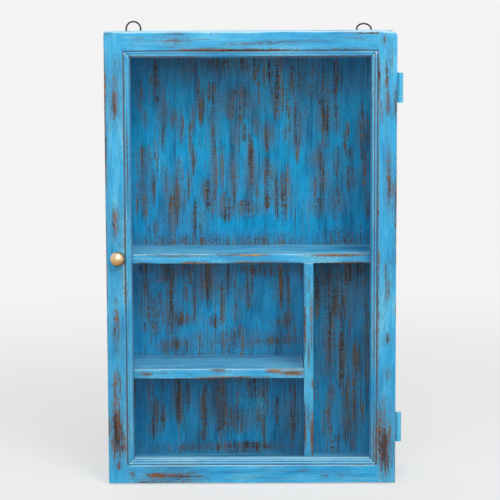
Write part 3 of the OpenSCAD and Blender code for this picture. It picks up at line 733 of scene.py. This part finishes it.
MOULD_FRONT = ([(-SINK, 1.5), (0.1, 1.45), (0.75, 1.45)] + reed(0.8, 2.1, 0.35)
               + [(2.95, 1.35), (3.25, 1.35)] + reed(3.3, 1.8, 0.95)
               + [(5.15, 1.85), (5.35, 1.85), (5.48, 1.75), (5.75, 2.25), (6.3, 3.3), (6.75, 4.15),
                  (6.96, 4.9)])
MOULD_BACK = [(MOULD_WIDTH, 5.6), (MOULD_WIDTH, RABBET_DEPTH), (RABBET_WALL, RABBET_DEPTH),
              (RABBET_WALL, STRIP_DEPTH), (-SINK, STRIP_DEPTH)]
MOULD_SECTION = MOULD_FRONT + MOULD_BACK

# Dark glaze in its grooves, and rubbing and painted highlight on its crests: distance from the flat,
# half width, amount
GROOVES = ((0.3, 0.6, 0.95), (3.1, 0.6, 1.0), (5.25, 0.3, 0.2), (6.6, 0.45, 0.8))
LEFT_GROOVES = ((0.3, 0.6, 0.95), (3.1, 0.45, 0.3), (5.25, 0.3, 0.2), (6.6, 0.45, 0.7))
# The top rail's glaze is darker and wider, partly painted shade under its downward faces
TOP_GLAZE_AND_SHADE = ((0.3, 0.6, 1.6), (3.1, 0.5, 0.7), (6.0, 0.8, 2.2))
CRESTS = ((1.85, 0.8, 0.5), (4.2, 0.7, 0.5), (6.9, 0.5, 0.6))


def bells(u, places):
    """The highest at u of some soft bells (middle, half width, height)."""
    return max(h * math.exp(-((u - m) / w) ** 2) for m, w, h in places)


def moulding(place, low, high, seed, glaze, grooves, rubbed):
    """The mitred strip. place(u, depth, run) gives a point, and low and high are its ends at u = 0.

    Returns points, faces, each point's arris value and its glaze.
    """
    count = max(4, round((high - low) / (MOULD_STEP * MM)))
    points, edge, groove = [], [], []
    for i in range(count + 1):
        part = i / count
        for k, (u, depth) in enumerate(MOULD_SECTION):
            run = low + u * MM + part * (high - low - 2 * u * MM)
            front = k < len(MOULD_FRONT)
            spot = Vector((run / (CARVED_LENGTH * MM), u, seed))
            give = CARVED_UNEVEN * (1 + noise.noise(spot)) if front else 0
            points.append(place(u * MM, (depth + give) * MM, run))
            edge.append(rubbed * bells(u, CRESTS) if front else 0.0)
            groove.append(glaze * bells(u, grooves) if front else 0.0)
    size = len(MOULD_SECTION)
    faces = []
    for i in range(count):
        for k in range(size):
            a, b = i * size + k, i * size + (k + 1) % size
            faces.append((a, b, b + size, a + size))
    faces.append(tuple(range(size)))
    faces.append(tuple(count * size + k for k in range(size)))
    return np.array(points), faces, np.array(edge), np.array(groove)


# Door frame. FLAT_STEPS are those of a flat's mesh across and along its grain.

FLAT_STEPS = (1.6 * MM, 5 * MM)
WORN_DEPTH = 2 * MM
GLAZE_REACH = 0.55 * MM
FRAME_STAIN = 0.55
FRAME_STAIN_SPREAD = 3
CORNER_REACH = 11 * MM
CORNER_DROP = 4 * MM
CORNER_TURN = 0.98
TOP_ARRIS = 5 * MM
TOP_WEAR_FROM = 110 * MM
TOP_WEAR_OVER = 30 * MM
TENON = 2 * MM
JOINT_NEAR = 3 * MM
rail_x = flat_x + TENON


def joined(parts):
    """Several (points, faces, values...) as one."""
    points, faces, start = [], [], 0
    for p, f, *_ in parts:
        points.append(p)
        faces += [tuple(start + i for i in face) for face in f]
        start += len(p)
    rest = [np.concatenate(group) for group in zip(*(part[2:] for part in parts))]
    return np.concatenate(points), faces, *rest


def beside(points):
    """How far points of a flat are from the line where the moulding begins."""
    off_x = np.abs(points[:, 0])
    off_z = np.abs(points[:, 2] - flat_middle)
    from_stile = np.where(off_z < flat_half + GLAZE_REACH, np.abs(off_x - flat_x), 1.0)
    from_rail = np.where(off_x < flat_x + GLAZE_REACH, np.abs(off_z - flat_half), 1.0)
    return np.minimum(from_stile, from_rail)


def worn_corner(points, top):
    """The same points with the right upper corner below top worn round."""
    part = np.clip((points[:, 0] - half_w) / CORNER_REACH + 1, 0, 1)
    limit = top - CORNER_DROP * (1 - np.sqrt(1 - CORNER_TURN * part ** 2))
    points[:, 2] = np.minimum(points[:, 2], limit)
    return points


def door_top(points):
    """The door's upper front arris is rubbed rounder, most of all at its right end."""
    near = (points[:, 2] > door_high - TOP_ARRIS) & (points[:, 1] < door_front + TOP_ARRIS)
    right = np.clip((points[:, 0] - TOP_WEAR_FROM) / TOP_WEAR_OVER, 0, 1)
    return 1 + near * (1.3 + 1.2 * right)


def inside_top(points):
    """True away from the door's upper and lower arrises."""
    off_z = np.abs(points[:, 2] - (door_low + door_high) / 2)
    return off_z < (door_high - door_low) / 2 - JOINT_NEAR


def stile_joint(points):
    """1 on a stile's inner arris where a rail meets it."""
    beyond = np.abs(points[:, 2] - flat_middle) > flat_half
    return 1.0 * (beyond & (np.abs(points[:, 0]) < flat_x + JOINT_NEAR) & inside_top(points))


def rail_joint(points):
    """1 on a rail's two ends."""
    return 1.0 * ((np.abs(points[:, 0]) > flat_x - JOINT_NEAR) & inside_top(points))


def frame_member(node, low, high, grain, place, ends, seed, marks, hidden, glaze, grooves, rubbed):
    """A stile or rail, its flat board and its moulding in one piece.

    place and ends are those of the moulding, glaze and rubbed how strongly its grooves are filled
    and its crests worn and lightened as painted highlight, and hidden is where the flat's arrises
    lie in a joint.
    """
    flat = board(low, high, along(grain, *FLAT_STEPS), seed, grain, hidden, door_top)
    strip = moulding(place, *ends, seed, glaze, grooves, rubbed)
    line = glaze * np.exp(-(beside(flat[0]) / GLAZE_REACH) ** 2)
    points, faces, edge, groove = joined([(*flat, line), strip])
    points = worn_corner(points, door_high)
    front = points[:, 1] < door_front + WORN_DEPTH
    stain_and_shade = FRAME_STAIN * strokes(points, grain, marks, FRAME_STAIN_SPREAD)
    piece = add_mesh(f"{node}_wood", points, faces,
                     {"edge": edge, "groove": groove, "stain_and_shade": stain_and_shade * front,
                      "wear": strokes(points, grain, marks) * front}, PAINTED[grain])
    stand_for(piece, node)


def add_stile(node, side, seed, marks, grooves):
    """One stile, on the left where side is -1 and on the right where it is 1."""
    def place(u, depth, run):
        return (side * (flat_x - u), door_front + depth, run)

    left, right = sorted((side * half_w, side * flat_x))
    frame_member(node, (left, door_front, door_low), (right, door_back, door_high), "Z", place,
                 (flat_low, flat_high), seed, marks, stile_joint, 1.0, grooves, 1.0)


def add_rail(node, side, seed, marks, glaze, grooves, rubbed):
    """One rail, at the bottom where side is -1 and at the top where it is 1."""
    inner, outer = (flat_high, door_high) if side > 0 else (flat_low, door_low)

    def place(u, depth, run):
        return (run, door_front + depth, inner - side * u)

    low, high = sorted((inner, outer))
    frame_member(node, (-rail_x, door_front, low), (rail_x, door_back, high), "X", place,
                 (-flat_x, flat_x), seed, marks, rail_joint, glaze, grooves, rubbed)


add_stile("door_left_stile", -1, 2.0, LEFT_STILE_MARKS, LEFT_GROOVES)
add_stile("door_right_stile", 1, 4.0, RIGHT_STILE_MARKS, GROOVES)
add_rail("door_bottom_rail", -1, 11.0, BOTTOM_RAIL_MARKS, 0.4, GROOVES, 1.0)
# The top rail's grooves hold painted shade as well as glaze, and its crests get little painted
# highlight
add_rail("door_top_rail", 1, 17.0, TOP_RAIL_MARKS, 0.45, TOP_GLAZE_AND_SHADE, 0.2)


# Boards of the case. Steps are those of a board's mesh along X, Y and Z, and CASE_STEPS those
# across and along its grain.

CASE_STEPS = (2.5 * MM, 8 * MM)
SHELF_STEPS = (5 * MM, 6 * MM, 1.2 * MM)
DIVIDER_STEPS = (1.2 * MM, 6 * MM, 5 * MM)
PANEL_STEPS = (1.2 * MM, 4 * MM, 4 * MM)
STAIN_SPREAD = 3.5


def plain_board(node, grain, seed, marks=(), low=None, high=None, material=None, steps=None,
                stained=0.3, spread=1.5, longer=0.12, painted_shade=(), corner=None):
    """A board that stands for a CAD node and fills its box, or low to high.

    marks are worn and stained on its front, and the shade marks only darken it as painted shade.
    Where corner is given, the right upper corner below that height is worn round.
    """
    box_low, box_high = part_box(node)
    low, high = low or box_low, high or box_high
    points, faces, edge = board(low, high, steps or along(grain, *CASE_STEPS), seed, grain)
    if corner:
        points = worn_corner(points, corner)
    front = points[:, 1] < low[1] + WORN_DEPTH
    stain_and_shade = np.maximum(stained * strokes(points, grain, marks, STAIN_SPREAD),
                       strokes(points, grain, painted_shade))
    piece = add_mesh(f"{node}_wood", points, faces,
                     {"edge": edge, "stain_and_shade": stain_and_shade * front,
                      "wear": strokes(points, grain, marks, spread, longer) * front},
                     material or PAINTED[grain])
    stand_for(piece, node)


def add_shelves():
    """The two shelves and the divider, each between the boards that it meets."""
    low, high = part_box("long_shelf")
    plain_board("long_shelf", "X", 37.0, LONG_SHELF_MARKS, (-inner_x, low.y, low.z),
                (inner_x, high.y, high.z), SHELF, SHELF_STEPS)
    divider_top = low.z
    divider_low, divider_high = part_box("divider")
    low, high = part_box("short_shelf")
    plain_board("short_shelf", "X", 41.0, SHORT_SHELF_MARKS, (-inner_x, low.y, low.z),
                (divider_low.x, high.y, high.z), SHELF, SHELF_STEPS)
    plain_board("divider", "Z", 45.0, DIVIDER_MARKS, (divider_low.x, divider_low.y, inner_low),
                (divider_high.x, divider_high.y, divider_top), steps=DIVIDER_STEPS)


plain_board("top_board", "X", 21.0, corner=top_high.z)
plain_board("bottom_board", "X", 25.0)
plain_board("left_side", "Z", 29.0)
plain_board("right_side", "Z", 33.0)
add_shelves()
plain_board("back_panel", "Z", 49.0, PANEL_MARKS, material=PANEL, steps=PANEL_STEPS,
            stained=0.95, spread=1.45, longer=0.4, painted_shade=PANEL_PAINTED_SHADE)


# Knob, in mm: radius and distance in front of the door

KNOB_SIDES = 48
KNOB_BALL = 7.5
KNOB_BALL_AT = 9.3
KNOB_BALL_STEPS = 20
KNOB_NECK = 3.7
KNOB_FOOT = [(0, 0.02), (6.1, 0.02), (6.35, 0.2), (6.4, 0.6), (6.3, 1.1), (5.9, 1.55), (5.2, 1.75),
             (4.5, 1.8), (3.95, 2.0), (KNOB_NECK, 2.3)]


def turned(middle, profile):
    """A solid turned about a line along -Y from middle, with this profile."""
    rings = [(r * MM, middle[1] - h * MM) for r, h in profile]
    points = [(middle[0], rings[0][1], middle[2])]
    for r, y in rings[1:-1]:
        for i in range(KNOB_SIDES):
            angle = 2 * math.pi * i / KNOB_SIDES
            points.append((middle[0] + r * math.cos(angle), y, middle[2] + r * math.sin(angle)))
    points.append((middle[0], rings[-1][1], middle[2]))
    last = len(points) - 1
    start = last - KNOB_SIDES
    faces = []
    for i in range(KNOB_SIDES):
        j = (i + 1) % KNOB_SIDES
        faces.append((0, 1 + i, 1 + j))
        faces.append((last, start + j, start + i))
        for ring in range(1, start, KNOB_SIDES):
            faces.append((ring + i, ring + KNOB_SIDES + i, ring + KNOB_SIDES + j, ring + j))
    return points, faces


def add_knob():
    """The ball knob with its rolled collar, on the left stile."""
    low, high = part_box("knob")
    middle = ((low.x + high.x) / 2, door_front, (low.z + high.z) / 2)
    lowest = -math.acos(KNOB_NECK / KNOB_BALL)
    turns = [lowest + (math.pi / 2 - lowest) * i / KNOB_BALL_STEPS
             for i in range(KNOB_BALL_STEPS + 1)]
    ball = [(KNOB_BALL * math.cos(a), KNOB_BALL_AT + KNOB_BALL * math.sin(a)) for a in turns]
    points, faces = turned(middle, KNOB_FOOT + ball)
    stand_for(add_mesh("knob_turned", points, faces, {}, FINISHES["brass"]), "knob")


add_knob()


# CAD pieces that stay as packed. Those without a finish of their own are painted wood.

GRAIN_OF = {"top_glazing_stop": "X", "bottom_glazing_stop": "X"}

for node, packed in frame["nodes"].items():
    packed.data.materials.clear()
    packed.data.materials.append(FINISHES.get(SLOTS[node]) or PAINTED[GRAIN_OF.get(node, "Z")])


# Floor, backdrop and light. What is seen of the world shines with BACKGROUND, and so does a part
# of the floor, which grows from FLOOR_GLOW to all of it over the distances of FLOOR_FADE.

SKY = 0.26
BACKGROUND = 0.9
FLOOR_GLOW = 0.6
FLOOR_FADE = (0.35, 1.4)
STAGE_SIDE = 7.0
STAGE_FRONT = -5.0
STAGE_BACK = 4.0
STAGE_TOP = 5.0
BEND_RADIUS = 1.2
BEND_STEPS = 12

# Name, place, height of the point on the Z axis that it faces, watts, size
LAMPS = (
    ("key", (0.8, -1.8, 1.65), 0.25, 22, 0.9),
    ("front", (-0.25, -2.7, 1.15), 0.22, 22, 1.0),
    ("above", (0.1, -1.0, 2.2), 0.3, 16, 1.2),
    ("behind", (-0.7, 1.5, 1.3), 0.2, 8, 1.2),
)


def seen(n):
    """1 for what the camera sees, also in metal and through glass."""
    path = n.add("ShaderNodeLightPath")
    return n.total(path.outputs["Is Camera Ray"], path.outputs["Is Glossy Ray"],
                   path.outputs["Is Transmission Ray"])


def floor_finish():
    """Pale matt floor that glows where it is seen, the more the farther it is from the case."""
    n = Nodes(bpy.data.materials.new("floor"))
    matt = n.output("ShaderNodeBsdfDiffuse", Color=FLOOR)
    glow = n.output("ShaderNodeEmission", Strength=BACKGROUND)
    away = n.add("ShaderNodeVectorMath", operation="LENGTH")
    n.put(away.inputs[0], n.place)
    share = n.ramp(away.outputs["Value"], *FLOOR_FADE, FLOOR_GLOW, 1.0)
    return n.finish(n.both(n.times(seen(n), share), matt, glow))


def add_stage():
    """A pale floor that curves up into a backdrop."""
    bend = [math.pi / 2 * i / BEND_STEPS for i in range(1, BEND_STEPS + 1)]
    line = [(STAGE_FRONT, 0.0), (STAGE_BACK - BEND_RADIUS, 0.0)]
    line += [(STAGE_BACK - BEND_RADIUS + BEND_RADIUS * math.sin(a),
              BEND_RADIUS * (1 - math.cos(a))) for a in bend]
    line.append((STAGE_BACK, STAGE_TOP))
    points = [(x, y, z) for y, z in line for x in (-STAGE_SIDE, STAGE_SIDE)]
    quads = [(2 * i, 2 * i + 1, 2 * i + 3, 2 * i + 2) for i in range(len(line) - 1)]
    mesh = bpy.data.meshes.new("floor")
    mesh.from_pydata(points, [], quads)
    mesh.shade_smooth()
    mesh.materials.append(floor_finish())
    floor = placed("floor", mesh)


def add_world():
    """An even sky, brighter where it is seen."""
    world = bpy.data.worlds.new("world")
    bpy.context.scene.world = world
    n = Nodes(world)
    light = n.output("ShaderNodeBackground", Color=WHITE, Strength=SKY)
    shown = n.output("ShaderNodeBackground", Color=WHITE, Strength=BACKGROUND)
    n.finish(n.both(seen(n), light, shown), "ShaderNodeOutputWorld")


def add_lamp(name, place, aim, power, size):
    """A soft square lamp that faces aim."""
    data = bpy.data.lights.new(name, "AREA")
    data.energy = power
    data.size = size
    lamp = placed(name, data)
    lamp.location = place
    lamp.rotation_mode = "QUATERNION"
    lamp.rotation_quaternion = (Vector(aim) - Vector(place)).to_track_quat("-Z", "Y")


add_stage()
add_world()
for name, place, aim_height, power, size in LAMPS:
    add_lamp(name, place, (0, 0, aim_height), power, size)
bpy.context.scene.view_settings.view_transform = "Standard"
